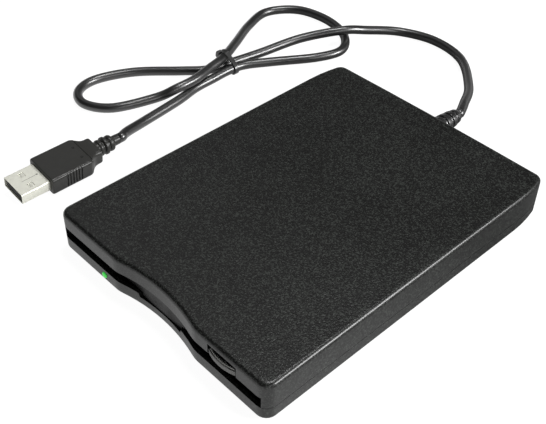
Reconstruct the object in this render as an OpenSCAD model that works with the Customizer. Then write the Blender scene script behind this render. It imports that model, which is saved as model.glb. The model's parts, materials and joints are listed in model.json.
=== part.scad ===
// External floppy disk drive: a slim moulded case round a 3.5 inch disk mechanism,
// on its tied signal cable. Front (disk slot) at -Y, +Z up, origin under the middle
// of the case on the surface it stands on.

/* [Case] */
// Width of the case
body_w = 103; // [102.6:0.2:108]
// Depth of the case, front lip to rear wall
body_d = 137.5; // [137:0.5:145]
// Height of the moulded case above its feet
body_h = 15.5; // [15.4:0.1:18]
// Wall of both shells
wall = 1.3; // [1.2:0.05:1.5]
// Top wall of the cover
top_wall = 1.4; // [1.2:0.05:1.5]
// Height of the bottom shell's rim, up to the seam
seam_h = 5; // [4.8:0.1:5.2]
// Gap that shows between the shells
seam_gap = 0.15; // [0.1:0.05:0.3]
// Height of the rim's inner tongue
tongue_h = 1.4; // [1:0.1:2]
// Thickness of the rim's inner tongue
tongue_t = 0.55; // [0.5:0.05:0.6]
// Radius of the front corners in plan
corner_r = 4; // [3:0.5:5]
// Radius of the rear corners in plan
rear_corner_r = 3.5; // [3:0.25:4.5]
// Radius of the long curve that draws the sides in towards the rear
taper_r = 60; // [50:5:80]
// Angle through which the sides are drawn in
taper_a = 13; // [8:1:14]
// Radius of the bowed rear wall
rear_bow_r = 2400; // [1500:100:4000]
// Round along the top edge
top_edge_r = 1.6; // [1:0.1:2]
// Round along the bottom edge
bottom_edge_r = 1; // [0.5:0.1:1.2]

/* [Front] */
// Half the width of the wave in the front
wave_half = 21; // [18:0.5:24]
// Depth of the wave
wave_depth = 2.8; // [2:0.1:3.2]
// Radius of the bend at each end of the wave
wave_bend_r = 12; // [8:1:18]
// Width of the disk slot
mouth_w = 98; // [97:0.5:98.5]
// Height of the disk slot
mouth_h = 4.5; // [4.4:0.05:4.7]
// Half the width of the finger notch in the lower lip
notch_half = 11; // [10:0.5:12]
// Depth of the finger notch
notch_depth = 1.5; // [1.2:0.1:1.8]

/* [Eject button] */
// Middle of the button across the front
button_x = 32.4; // [30:0.2:33]
// Width of the button
button_w = 11.8; // [10:0.2:13]
// How far the button's bowed front stands proud
button_proud = 1; // [0.6:0.1:1.6]
// Travel of the button and slide plate when a disk has dropped in
button_travel = 5; // [4:0.25:5]
// Gap round the button in its recess
button_gap = 0.4; // [0.3:0.05:0.6]
// Height of the finger hollow above the button
hollow_h = 2; // [1:0.1:2]

/* [Indicator] */
// Place of the indicator across the front
led_x = -27; // [-30:0.5:-26]
// Radius of the indicator's face
led_r = 1.2; // [1:0.05:1.25]

/* [Dust door] */
// Thickness of the dust door
door_t = 0.8; // [0.7:0.05:0.9]
// Setback of the door behind the deepest part of the wave
door_gap = 0.3; // [0.2:0.05:0.4]
// Radius of the door's pivot stubs
door_pin_r = 0.6; // [0.5:0.05:0.7]
// Clearance of turning and sliding fits
run_gap = 0.05; // [0.03:0.01:0.08]

/* [Feet and screws] */
// Height of the feet below the case
foot_h = 1.5; // [1:0.1:2]
// Radius of the feet
foot_r = 4; // [3:0.25:4.5]
// Depth of the recess that holds each foot
foot_recess = 0.4; // [0.3:0.05:0.6]
// Radius of the screw shanks in the case
screw_r = 0.8; // [0.7:0.05:0.9]
// Radius of the screw heads
screw_head_r = 1.7; // [1.5:0.05:1.8]

/* [Disk] */
// Width of the disk that the slot takes
disk_w = 90; // [89.6:0.1:90.4]
// Length of that disk
disk_l = 94; // [93.5:0.1:94.2]
// Thickness of that disk
disk_t = 3.3; // [3.2:0.05:3.4]
// Distance of the loaded disk behind the front of the case
disk_setback = 2.75; // [2.5:0.05:3]
// Distance of the hub from the disk's leading edge
hub_setback = 46; // [45:0.5:47]

/* [Mechanism] */
// Thickness of the pressed steel parts
sheet = 0.6; // [0.5:0.05:0.65]
// Height of the holder's channel for the disk
channel_h = 4.1; // [4.05:0.05:4.2]
// How far the holder drops with the disk
holder_drop = 1.9; // [1.7:0.05:1.9]
// Height of the pads under the chassis
pad_h = 0.6; // [0.6:0.05:0.7]
// Radius of the rotor
rotor_r = 20.5; // [18:0.5:21]
// Radius of the spindle shaft
spindle_r = 1.5; // [1.3:0.05:1.7]
// Radius of the outermost track on the disk
track0_r = 39.5; // [39:0.25:40]
// Travel of the heads across the tracks
head_travel = 15; // [14:0.25:15]
// Pitch of the lead screw
screw_pitch = 3.75; // [3:0.25:4.5]
// Radius of the lead screw
lead_r = 1.5; // [1.3:0.05:1.7]
// Radius of the guide rod
rod_r = 1; // [0.8:0.05:1.1]
// Radius of the stepper motor's can
stepper_r = 5.4; // [4.5:0.1:5.5]
// Length of the shutter lever from pivot to pin
lever_l = 31; // [30:0.25:31]
// Length of the upper head arm from hinge to head
arm_l = 34; // [33:0.25:34.5]

/* [Cable] */
// Diameter of the cable
cable_d = 4; // [3.6:0.1:4.2]
// Place of the cable exit across the rear wall
exit_x = -1; // [-2:0.25:2]
// Height of the cable exit above the surface
exit_z = 9; // [8.8:0.1:9.4]
// Length of the strain relief outside the rear wall
relief_l = 16; // [14:0.5:18]
// Radius of the strain relief at the wall
relief_r = 4.2; // [3.8:0.1:4.6]

/* [Plug] */
// Width of the plug's metal shell
shell_w = 12; // [11.8:0.1:12.2]
// Height of the plug's metal shell
shell_t = 4.5; // [4.3:0.1:4.6]
// Length of shell that stands out of the grip
shell_l = 12; // [11.5:0.1:12.5]
// Width of the plug's grip
grip_w = 15.5; // [15:0.25:16.5]
// Thickness of the plug's grip
grip_t = 7.5; // [7:0.25:8]
// Length of the plug's grip, with the narrower lobe behind it
grip_l = 24.4; // [23:0.2:26]
// Length of the lobe behind the grip's wide part
lobe_l = 7.2; // [6:0.2:8]
// Width of the lobe
lobe_w = 10.2; // [9.5:0.1:11]
// Length of the plug's ringed neck
neck_l = 10.5; // [10:0.25:11.5]
// Roll of the lying plug about its length
plug_roll = 8; // [0:1:10]

/* [Hidden] */
$fn = 64;
over = 0.5;

// Levels, bottom to top
z_bot = foot_h;
z_top = z_bot + body_h;
z_floor = z_bot + wall;
z_ceil = z_top - top_wall;
z_seam = z_bot + seam_h;
z_mouth = z_seam + mouth_h;
z_notch = z_seam - notch_depth;
z_rail = z_seam + 0.35;
z_chan = z_rail + channel_h;
z_hold = z_chan + sheet;
z_loaded = z_rail - holder_drop;
z_media = z_loaded + disk_t / 2;
z_chassis = z_floor + pad_h;
z_deck = z_chassis + sheet;
z_board = z_floor + 0.05;
board_t = 0.5;
lever_t = 0.5;
z_lever = z_hold + 0.1;
slide_t = 0.7;
z_slide = z_lever + lever_t + 0.2;
shield_t = 0.5;
z_shield = z_ceil - 0.2 - shield_t;

// Stations along the depth, front to rear
y_front = (button_proud - body_d) / 2;
y_rear = y_front + body_d;
y_deep = y_front + wave_depth;
y_door = y_deep + door_gap;
y_hinge = y_door + door_t + 0.05;
z_hinge = z_mouth + 1;
y_lead = y_front + disk_setback + disk_l;
y_spin = y_lead - hub_setback;
y_head = y_spin + track0_r;
y_hold0 = y_hinge + 8;
y_hold1 = y_lead + 2.8;
y_deck0 = y_hold0 + 0.8;
y_narrow = y_hold1 + 1.7;
y_deck1 = y_rear - 4.75;

// Height of the indicator
led_z = z_bot + 2.45;

// Places across the width
x_chan = disk_w / 2 + 0.8;
x_hold = x_chan + sheet;
x_door = x_chan - 0.5;
x_slide = x_hold + 0.5;
x_wall = x_slide + sheet + 0.3;
x_deck = x_wall + sheet;
x_rear = 40;

// The wave: two bends and one hollow arc, all tangent
wave_a = 2 * atan(wave_depth / wave_half);
wave_r = wave_half / sin(wave_a) - wave_bend_r;

// The rear corners and the bowed rear wall, all tangent
rc_x = body_w / 2 - taper_r + (taper_r - rear_corner_r) * cos(taper_a);
bow_a = asin(rc_x / (rear_bow_r - rear_corner_r));
bow_y = y_rear - rear_bow_r;
rc_y = bow_y + (rear_bow_r - rear_corner_r) * cos(bow_a);
taper_y = rc_y - (taper_r - rear_corner_r) * sin(taper_a);

// Fasteners
case_screws = [[body_w / 2 - 3.6, y_front + 8.05], [45, y_rear - 6.75]];
case_screw_top = z_floor + 8;
deck_screws = [[36, y_deck0 + 2.7], [34, y_deck1 - 6.5]];
boss_r = 2.1;
pad_r = 2.5;
feet_at = [[40, y_front + 7.25], [39.5, y_rear - 18.25]];

// Holder pins and the slots that guide them
pin_r = 0.8;
pin_gap = 0.1;
pin_z = z_rail + 2.45;
pin_ys = [y_hold0 + 10, y_hold1 - 10.8];

// Heads
head_w = 3;
head_d = 2.8;
arm_t = 0.8;
arm_drop = 0.5;
y_arm = y_head + arm_l;
z_arm_pin = z_loaded + disk_t + 0.35 + arm_drop;
// the upper head's rear edge clears the holder when the arm is up, by this angle
head_up = z_chan + 0.1 - z_arm_pin;
head_dn = z_arm_pin - z_media - 0.1;
lift_a = asin(head_up / norm([arm_l - head_d, head_dn])) + atan2(head_dn, arm_l - head_d);

// Carriage, rod and screw
car_y0 = y_head + 25;
car_y1 = car_y0 + 11;
car_z0 = z_floor + 0.4;
car_z1 = z_arm_pin - 1.2;
rod_x = 9;
rod_z = z_floor + 3.6;
lead_x = -16;
lead_z = z_floor + 5.8;
lead_y0 = y_hold1 + 0.9;
lead_y1 = y_head + 31;
follow_y = y_head + 27.6;

// Where the motor board's flat cable leaves it
y_flex = y_spin + 25;

// Shutter lever
lever_x = -38;
lever_y = y_lead + 1 - lever_l * sin(72);

// Plug, in its own frame: along -Y from the neck's end, Z up
plug_x = -84.1;
plug_y = -21;
plug_z = grip_t / 2 + 0.9;

// ---------- shared shapes ----------

// Points along an arc, both ends included
function arc(c, r, a0, a1, n) =
    [for (i = [0:n]) let (a = a0 + (a1 - a0) * i / n) [c.x + r * cos(a), c.y + r * sin(a)]];

// Outline of the case in plan, drawn in by d, anticlockwise from the left front corner
function outline(d) = concat(
    arc([-body_w / 2 + corner_r, y_front + corner_r], corner_r - d, 180, 270, 6),
    arc([-wave_half, y_front + wave_bend_r], wave_bend_r - d, 270, 270 + wave_a, 3),
    arc([0, y_deep - wave_r], wave_r + d, 90 + wave_a, 90 - wave_a, 12),
    arc([wave_half, y_front + wave_bend_r], wave_bend_r - d, 270 - wave_a, 270, 3),
    arc([body_w / 2 - corner_r, y_front + corner_r], corner_r - d, 270, 360, 6),
    arc([body_w / 2 - taper_r, taper_y], taper_r - d, 0, taper_a, 3),
    arc([rc_x, rc_y], rear_corner_r - d, taper_a + 10, 90 - bow_a, 5),
    arc([0, bow_y], rear_bow_r - d, 90 - bow_a / 2, 90 + bow_a / 2, 2),
    arc([-rc_x, rc_y], rear_corner_r - d, 90 + bow_a, 170 - taper_a, 5),
    arc([taper_r - body_w / 2, taper_y], taper_r - d, 180 - taper_a, 180, 3));

// Solid through closed rings of equal length, given bottom to top
module skin(rings) {
    n = len(rings[0]);
    m = len(rings);
    sides = [for (k = [0:m - 2]) for (i = [0:n - 1]) let (j = (i + 1) % n)
        each [[k * n + i, k * n + n + i, k * n + n + j], [k * n + i, k * n + n + j, k * n + j]]];
    polyhedron(
        points = [for (r = rings) each r],
        faces = concat([[for (i = [0:n - 1]) i]], sides,
            [[for (i = [0:n - 1]) m * n - 1 - i]]),
        convexity = 6);
}

// Rings of the case outline at [height, inset] levels
function case_rings(levels) =
    [for (l = levels) [for (p = outline(l[1])) [p.x, p.y, l[0]]]];

// Prism of the case outline drawn in by d
module case_prism(d, z0, z1)
    translate([0, 0, z0]) linear_extrude(z1 - z0) polygon(outline(d));

module both_sides()
    for (s = [-1, 1]) scale([s, 1, 1]) children();

// Box from corner to corner
module box(a, b)
    translate(a) cube(b - a);

// Cylinder along X, from x0 to x1
module rod_x(r, x0, x1, y, z)
    translate([x0, y, z]) rotate([0, 90, 0]) cylinder(r = r, h = x1 - x0);

// Cylinder along Y, from y0 to y1
module rod_y(r, y0, y1, x, z)
    translate([x, y0, z]) rotate([-90, 0, 0]) cylinder(r = r, h = y1 - y0);

// Round-ended slot through a side wall, between two points [y, z]
module slot_x(r, x0, x1, p, q) {
    a = atan2(q.y - p.y, q.x - p.x);
    translate([x0, 0, 0]) rotate([90, 0, 90]) linear_extrude(x1 - x0)
        polygon(concat(arc(p, r, a + 90, a + 270, 8), arc(q, r, a - 90, a + 90, 8)));
}

// Rounded rectangle, centred
function round_rect(w, h, r, n = 4) = concat(
    arc([w / 2 - r, h / 2 - r], r, 0, 90, n), arc([r - w / 2, h / 2 - r], r, 90, 180, n),
    arc([r - w / 2, r - h / 2], r, 180, 270, n), arc([w / 2 - r, r - h / 2], r, 270, 360, n));

// Unit vector, and a curve through points with k steps a span
function unit(v) = v / norm(v);
function spline_at(p, i, t) =
    let (a = p[max(i - 1, 0)], b = p[i], c = p[i + 1], d = p[min(i + 2, len(p) - 1)])
    0.5 * (2 * b + (c - a) * t + (2 * a - 5 * b + 4 * c - d) * t * t
        + (3 * b - a - 3 * c + d) * t * t * t);
function spline(p, k) = concat(
    [for (i = [0:len(p) - 2]) for (j = [0:k - 1]) spline_at(p, i, j / k)], [p[len(p) - 1]]);

// Tube of radius r along a path; up is any vector that the path never follows
module tube(path, r, sides, up = [0, 0, 1]) {
    n = len(path);
    skin([for (i = [0:n - 1]) let (
        t = unit(path[min(i + 1, n - 1)] - path[max(i - 1, 0)]),
        u = unit(cross(t, up)),
        v = cross(u, t))
        [for (k = [0:sides - 1]) let (a = 360 * (k + 0.5) / sides)
            path[i] + r * (cos(a) * v + sin(a) * u)]]);
}

// Coil along +Y from the origin, l long, with straight ends on its axis
function coil(r, l, turns, n, lead = 0) = concat(
    lead > 0 ? [[0, 0, 0], [0, lead, 0]] : [],
    [for (i = [0:turns * n]) [r * cos(360 * i / n), 1.6 * lead + (l - 3.2 * lead) * i / turns / n,
        r * sin(360 * i / n)]],
    lead > 0 ? [[0, l - lead, 0], [0, l, 0]] : []);

// Countersunk screw standing on its head at z0, shank up to z1
module screw(z0, z1, r, head_r) {
    head_t = 1;
    difference() {
        union() {
            translate([0, 0, z0]) cylinder(r = head_r, h = head_t);
            translate([0, 0, z0 + head_t]) cylinder(r = r, h = z1 - z0 - head_t);
        }
        for (a = [0, 90]) rotate([0, 0, a])
            box([-head_r * 0.6, -0.2, z0 - 1], [head_r * 0.6, 0.2, z0 + 0.5]);
    }
}

// ---------- case ----------

module top_cover() color([0.16, 0.16, 0.155]) {
    edge = [for (i = [0:4]) let (a = 22.5 * i)
        [z_top - top_edge_r * (1 - sin(a)), top_edge_r * (1 - cos(a))]];
    difference() {
        skin(case_rings(concat([[z_seam - 2, 0]], edge)));
        box([-body_w, -body_d, 0], [body_w, body_d, z_seam + seam_gap]);
        difference() {
            case_prism(wall, z_seam - over, z_ceil);
            both_sides() cover_bosses();
        }
        // rabbet over the bottom shell's tongue
        intersection() {
            case_prism(wall - tongue_t - 0.1, z_seam - over, z_seam + tongue_h + 0.1);
            box([-body_w, y_hold0 - 0.1, 0], [body_w, y_rear, z_ceil]);
        }
        // disk slot
        box([-mouth_w / 2, y_front - over, z_seam - over], [mouth_w / 2, y_front + 4.3, z_mouth]);
        // finger hollow over the button
        box([button_x - button_w / 2 - button_gap, y_front - over, z_mouth - over],
            [button_x + button_w / 2 + button_gap, y_front + 4.3, z_slide + slide_t + hollow_h]);
        // way in for the strain relief's neck
        relief_way();
        both_sides() cover_holes();
    }
}

// Screw bosses and door ears under the cover
module cover_bosses() {
    for (p = case_screws)
        translate([p.x, p.y, z_floor + 1.7]) cylinder(r = boss_r + screw_r - 0.8, h = body_h);
    box([case_screws[0].x, case_screws[0].y - 0.6, z_seam + 2],
        [body_w / 2, case_screws[0].y + 0.6, z_ceil + over]);
    box([x_hold + 0.1, y_hinge - 1, z_mouth + 0.2], [x_hold + 1.6, y_hinge + 1, z_ceil + over]);
}

module cover_holes() {
    for (p = case_screws)
        translate([p.x, p.y, z_floor]) cylinder(r = screw_r, h = case_screw_top - z_floor + 0.3);
    rod_x(door_pin_r + run_gap, x_hold - 1, x_hold + 1.7, y_hinge, z_hinge);
}

module relief_way() {
    rod_y(2.6, y_rear - 4, y_rear + over, exit_x, exit_z);
    box([exit_x - 2.6, y_rear - 4, 0], [exit_x + 2.6, y_rear + over, exit_z]);
}

module bottom_shell() color([0.16, 0.16, 0.155]) {
    levels = [for (i = [0:3]) let (a = 30 * i)
        [z_bot + bottom_edge_r * (1 - cos(a)), bottom_edge_r * (1 - sin(a))]];
    difference() {
        union() {
            difference() {
                skin(case_rings(concat([[z_bot - 1, bottom_edge_r]], levels, [[z_seam + 1, 0]])));
                box([-body_w, -body_d, z_bot - 2], [body_w, body_d, z_bot]);
                box([-body_w, -body_d, z_seam], [body_w, body_d, z_seam + 2]);
                case_prism(wall, z_floor, z_seam + over);
            }
            bottom_tongue();
            both_sides() bottom_pads();
            relief_tab();
            // tunnel that hides the light pipe
            box([led_x - led_r - 0.6, y_front + wall - 0.1, z_floor - 0.1],
                [led_x + led_r + 0.6, y_front + 10.4, led_z + led_r + 0.45]);
        }
        // finger notch in the lower lip
        translate([0, y_front - over, 0]) rotate([90, 0, 0]) translate([0, 0, -5]) linear_extrude(5)
            polygon([[-notch_half, z_seam + 1], [-notch_half + 0.7, z_notch],
                [notch_half - 0.7, z_notch], [notch_half, z_seam + 1]]);
        rod_y(led_r + run_gap, y_front - over, y_front + wall + over, led_x, led_z);
        rod_y(led_r - 0.15 + run_gap, y_front + wall, y_front + 10.4 + over, led_x, led_z);
        both_sides() bottom_holes();
    }
}

// Thin rim that the cover drops over
module bottom_tongue() intersection() {
    difference() {
        case_prism(wall - tongue_t, z_seam - 0.1, z_seam + tongue_h);
        case_prism(wall, z_seam - 1, z_seam + tongue_h + over);
        relief_way();
    }
    box([-body_w, y_hold0, 0], [body_w, y_rear, z_ceil]);
}

// Upright tab that closes the cable's way in from below
module relief_tab() difference() {
    box([exit_x - 2.5, y_rear - wall - 0.2, z_seam - 0.4], [exit_x + 2.5, y_rear - 0.3, exit_z - 0.6]);
    rod_y(2.6, y_rear - 4, y_rear + over, exit_x, exit_z);
}

module bottom_pads() {
    for (p = case_screws)
        translate([p.x, p.y, z_floor - 0.1]) cylinder(r = boss_r, h = 1.7);
    for (p = deck_screws)
        translate([p.x, p.y, z_floor - 0.1]) cylinder(r = pad_r, h = pad_h + 0.1);
}

module bottom_holes() {
    for (p = case_screws) translate([p.x, p.y, 0]) {
        cylinder(r = screw_r + 0.3, h = z_floor + 2);
        cylinder(r = screw_head_r + 0.3, h = z_bot + 1.5);
    }
    for (p = deck_screws) translate([p.x, p.y, 0]) {
        cylinder(r = screw_r + 0.3, h = z_floor + 2);
        cylinder(r = screw_head_r + 0.3, h = z_bot + 1.2);
    }
    for (p = feet_at) translate([p.x, p.y, 0]) cylinder(r = foot_r, h = z_bot + foot_recess);
}

module rubber_feet() color([0.1, 0.1, 0.1]) both_sides()
    for (p = feet_at) translate([p.x, p.y, 0]) {
        translate([0, 0, 0.3]) cylinder(r = foot_r - 0.05, h = z_bot + foot_recess - 0.3);
        cylinder(r1 = foot_r - 0.35, r2 = foot_r - 0.05, h = 0.3);
    }

module case_screws() color([0.25, 0.25, 0.26]) both_sides()
    for (p = case_screws) translate([p.x, p.y, 0])
        screw(z_bot + 0.5, case_screw_top, screw_r - run_gap, screw_head_r);

module chassis_screws() color([0.7, 0.7, 0.72]) both_sides()
    for (p = deck_screws) translate([p.x, p.y, 0])
        screw(z_bot + 0.2, z_deck, screw_r - run_gap, screw_head_r);

// ---------- dust door ----------

module dust_door() color([0.22, 0.22, 0.215]) {
    difference() {
        box([-x_door, y_door, z_seam + 0.2], [x_door, y_door + door_t, z_mouth - 0.2]);
        // draft of the lower edge towards the ends
        both_sides() box([x_door - 3, y_door - over, 0], [x_door + 1, y_door + door_t + over, z_seam + 0.5]);
    }
    // tab that fills the finger notch
    box([-notch_half + 1.2, y_door, z_notch + 0.2], [notch_half - 1.2, y_door + door_t, z_seam + 0.3]);
    // ears and pivot stubs
    both_sides() {
        box([x_door - 2.2, y_door, z_mouth - 0.3], [x_door, y_hinge, z_hinge]);
        rod_x(door_pin_r + 0.25, x_door - 2.2, x_door, y_hinge, z_hinge);
        rod_x(door_pin_r, x_door - 5, x_hold + 1.5, y_hinge, z_hinge);
    }
}

module door_spring() color([0.75, 0.75, 0.77])
    translate([2.5 - x_door, y_hinge, z_hinge]) rotate([0, 0, -90])
        tube(coil(door_pin_r + 0.35, 1.8, 4, 8), 0.15, 4, [0, 1, 0]);

// ---------- eject ----------

module eject_button() color([0.2, 0.2, 0.195]) {
    half = button_w / 2;
    bow = 1.1;
    rad = (half * half + bow * bow) / (2 * bow);
    y_tip = y_front - button_proud;
    a = asin(half / rad);
    difference() {
        translate([button_x, 0, z_mouth + 0.15]) linear_extrude(z_slide + slide_t - z_mouth - 0.15)
            polygon(concat(arc([0, y_tip + rad], rad, 270 - a, 270 + a, 12),
                [[half, y_door - 0.4], [-half, y_door - 0.4]]));
        // seat on the slide plate's tongue
        box([button_x - half + 1.2, y_front + 0.6, z_slide - 0.02],
            [button_x + half - 1.2, y_door + 1, z_slide + slide_t + 1]);
    }
}

module slide_plate() color([0.72, 0.73, 0.74]) {
    y0 = y_hold0 + 6.3;
    y1 = y_hold1 - 5.3;
    x_in = x_slide - 5.4;
    difference() {
        union() {
            // cross strip, side strips and the tongue that carries the button
            box([-x_slide - sheet, y0, z_slide], [x_slide + sheet, y0 + 8, z_slide + slide_t]);
            both_sides() {
                box([x_in, y0, z_slide], [x_slide + sheet, y1, z_slide + slide_t]);
                box([x_slide, y0, z_deck + 0.1], [x_slide + sheet, y1, z_slide + slide_t]);
                // post that the spring pulls on
                box([x_slide - 3.6, y0 + 37.6, z_slide], [x_slide - 1, y0 + 38.4, z_slide + 2.1]);
            }
            box([button_x - button_w / 2 + 1.3, y_front + 0.7, z_slide],
                [button_x + button_w / 2 - 1.3, y0 + 1, z_slide + slide_t]);
        }
        both_sides() {
            // window that the spring lies in
            box([x_slide - 3.6, y0 + 10, z_slide - over], [x_slide - 1, y0 + 37.6, z_slide + 2]);
            // inclined slots that lower the holder
            for (y = pin_ys)
                slot_x(pin_r + pin_gap, x_slide - 0.2, x_slide + sheet + 0.2,
                    [y, pin_z], [y + button_travel, pin_z - holder_drop]);
        }
        // lightening holes in the cross strip
        for (x = [-30, -18, -6, 6]) translate([x, y0 + 4, z_slide - over]) cylinder(r = 2.2, h = 2);
    }
}

module slide_springs() color([0.78, 0.78, 0.8]) both_sides() {
    y0 = y_hold0 + 22.62;
    y1 = y_hold0 + 43.88;
    translate([x_slide - 2.3, y0, z_slide + 1.1])
        tube(coil(0.85, y1 - y0, 16, 6, 0.8), 0.15, 4, [0, 0.03, 1]);
}

// ---------- indicator ----------

module light_pipe() color([0.3, 0.9, 0.4]) {
    rod_y(led_r, y_front - 0.15, y_front + wall, led_x, led_z);
    rod_y(led_r - 0.15, y_front + wall, y_front + 10.6, led_x, led_z);
}

module status_led() color([0.9, 0.95, 0.85])
    box([led_x - 1.2, y_front + 10.75, z_board + board_t], [led_x + 1.2, y_front + 12.6, z_board + board_t + 1.5]);

// ---------- frame of the mechanism ----------

module chassis() color([0.66, 0.67, 0.68]) difference() {
    union() {
        box([-x_deck, y_deck0, z_chassis], [x_deck, y_narrow, z_deck]);
        box([-x_rear, y_narrow - 1, z_chassis], [x_rear, y_deck1, z_deck]);
        both_sides() {
            box([x_wall, y_deck0, z_chassis], [x_deck, y_narrow, z_slide - 0.1]);
            box([x_rear - sheet, y_narrow + 2, z_chassis], [x_rear, y_deck1, z_shield]);
            // spring anchor, folded in over the slide plate
            box([x_slide - 3.6, y_hold0 + 22, z_slide + slide_t + 0.2],
                [x_deck, y_hold0 + 22.6, z_slide + 2.1]);
            box([x_wall, y_hold0 + 20, z_slide - over], [x_deck, y_hold0 + 22.6, z_slide + 2.1]);
        }
        box([-x_rear, y_deck1 - sheet, z_chassis], [-6, y_deck1, z_chassis + 6]);
    }
    // round window for the rotor
    translate([0, y_spin, 0]) cylinder(r = rotor_r + 2, h = z_top);
    box([-5.2, y_spin, 0], [5.2, y_spin + rotor_r + 5, z_deck + 1]);
    // channel for the carriage, screw and stepper motor
    box([lead_x - 7.5, y_spin + rotor_r + 4.5, 0], [rod_x + 6, y_deck1 - 2.5, z_deck + 1]);
    // upright slots that keep the holder's pins in place
    both_sides() {
        for (y = pin_ys) {
            rod_x(pin_r + pin_gap, x_wall - 0.2, x_deck + 0.2, y, pin_z - holder_drop);
            box([x_wall - 0.2, y - pin_r - pin_gap, pin_z - holder_drop],
                [x_deck + 0.2, y + pin_r + pin_gap, z_slide + 0.3]);
        }
        for (p = deck_screws) translate([p.x, p.y, 0]) cylinder(r = screw_r, h = z_top);
        // windows for the disk switches
        box([34.8, y_deck0 + 7.2, 0], [40.2, y_deck0 + 12.8, z_deck + 1]);
        for (y = [-20, -8, 4, 16]) translate([34, y_spin + y + 2, 0]) cylinder(r = 3, h = z_top - 5);
    }
    // slot that the motor board's flat cable comes up through
    box([21, y_flex - 1, 0], [31, y_flex + 1.5, z_deck + 1]);
    // lightening holes
    for (y = [y_narrow + 14, y_narrow + 22]) translate([-32, y, 0]) cylinder(r = 2.6, h = z_deck + 1);
}

module mechanism_shield() color([0.74, 0.75, 0.76]) {
    x_out = x_deck + 0.2 + shield_t;
    difference() {
        union() {
            box([-x_out, y_deck0 + 6, z_shield], [x_out, y_narrow - 1, z_shield + shield_t]);
            box([-x_rear, y_narrow - 1.5, z_shield], [x_rear, y_deck1, z_shield + shield_t]);
            both_sides() box([x_deck + 0.2, y_deck0 + 6, z_chan - 2], [x_out, y_narrow - 1, z_shield + 0.1]);
        }
        // pressed ventilation slots over the motor
        for (x = [-24:8:24]) box([x - 1.2, y_spin - 12, z_shield - over], [x + 1.2, y_spin + 12, z_shield + 1]);
    }
}

module disk_holder() color([0.7, 0.71, 0.72]) difference() {
    union() {
        box([-x_hold, y_hold0, z_chan], [x_hold, y_hold1, z_hold]);
        both_sides() {
            box([x_chan, y_hold0, z_rail - sheet], [x_hold, y_hold1, z_hold]);
            box([x_chan - 4, y_hold0, z_rail - sheet], [x_hold, y_hold1, z_rail]);
            // stop for the disk's leading edge
            box([31, y_lead + 0.3, z_rail], [40, y_lead + 0.3 + sheet, z_chan + 0.1]);
        }
        // strap behind the lever's way, and the post that its spring pulls on
        box([lever_x + 1, y_hold1 - 2, z_chan], [lever_x + 11.5, y_hold1 + 2, z_hold]);
        translate([lever_x, lever_y - 22, z_chan]) cylinder(r = 0.5, h = sheet + 2);
    }
    // head window, open to the rear
    box([-9, y_spin + rotor_r - 0.5, z_chan - over], [9, y_hold1 + over, z_hold + over]);
    // curved way of the shutter lever's pin
    translate([lever_x, lever_y, z_chan - over]) lever_way();
    // pressed windows either side
    for (x = [-20, 22]) translate([x, y_spin - 14, z_chan - over]) cylinder(r = 6, h = 2);
    both_sides() for (y = pin_ys) rod_x(pin_r, x_chan - 0.3, x_hold + 0.3, y, pin_z);
}

module lever_way() rotate([0, 0, -4]) rotate_extrude(angle = 79.5)
    translate([lever_l - 1.35, 0]) square([2.7, 2]);

module holder_pins() color([0.8, 0.8, 0.82]) both_sides()
    for (y = pin_ys) rod_x(pin_r, x_chan + 0.05, x_deck - 0.1, y, pin_z);

module shutter_lever() color([0.75, 0.75, 0.76]) translate([lever_x, lever_y, 0]) {
    difference() {
        union() {
            translate([0, 0, z_lever]) cylinder(r = 3.2, h = lever_t);
            box([0, -1.6, z_lever], [lever_l, 1.6, z_lever + lever_t]);
            // tail and post for the spring
            box([-1.1, -6.2, z_lever], [1.1, 0, z_lever + lever_t]);
            translate([0, -5.2, z_lever]) cylinder(r = 0.5, h = lever_t + 1.7);
            translate([lever_l, 0, z_lever]) cylinder(r = 1.6, h = lever_t);
        }
        translate([0, 0, z_lever - 1]) cylinder(r = 1 + run_gap, h = 3);
    }
    translate([lever_l, 0, z_chan - 1.6]) cylinder(r = 1, h = z_lever - z_chan + 1.7);
}

module lever_pivot() color([0.8, 0.8, 0.82]) translate([lever_x, lever_y, z_hold]) {
    cylinder(r = 1, h = lever_t + 0.2);
    translate([0, 0, lever_t + 0.15]) cylinder(r = 1.9, h = 0.4);
}

module lever_spring() color([0.78, 0.78, 0.8])
    translate([lever_x, lever_y - 21.48, z_lever + 1.5])
        tube(coil(0.7, 15.76, 12, 6, 0.8), 0.14, 4, [0, 0.03, 1]);

// ---------- spindle motor ----------

module motor_board() color([0.1, 0.32, 0.2]) difference() {
    union() {
        translate([0, y_spin, z_board]) cylinder(r = rotor_r + 6, h = board_t);
        box([-41, y_deck0 + 6.5, z_board], [41, y_deck0 + 14.5, z_board + board_t]);
        box([led_x - 3.5, y_front + 10.7, z_board], [led_x + 3.5, y_deck0 + 7, z_board + board_t]);
        box([20, y_spin + 10, z_board], [32, y_spin + 28, z_board + board_t]);
        box([-26, y_deck0 + 14, z_board], [26, y_spin, z_board + board_t]);
    }
    translate([0, y_spin, 0]) cylinder(r = 2.6, h = z_top);
}

module stator_coils() color([0.72, 0.42, 0.2]) translate([0, y_spin, z_board + board_t])
    for (i = [0:5]) rotate([0, 0, 60 * i]) translate([12.5, 0, 0]) difference() {
        cylinder(r = 5.4, h = 0.4);
        translate([0, 0, -1]) cylinder(r = 2, h = 3);
    }

module spindle_bearing() color([0.78, 0.62, 0.3]) translate([0, y_spin, 0]) difference() {
    translate([0, 0, z_board]) cylinder(r = 2.6, h = 1);
    translate([0, 0, z_board - 1]) cylinder(r = spindle_r + run_gap, h = 3);
}

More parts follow.
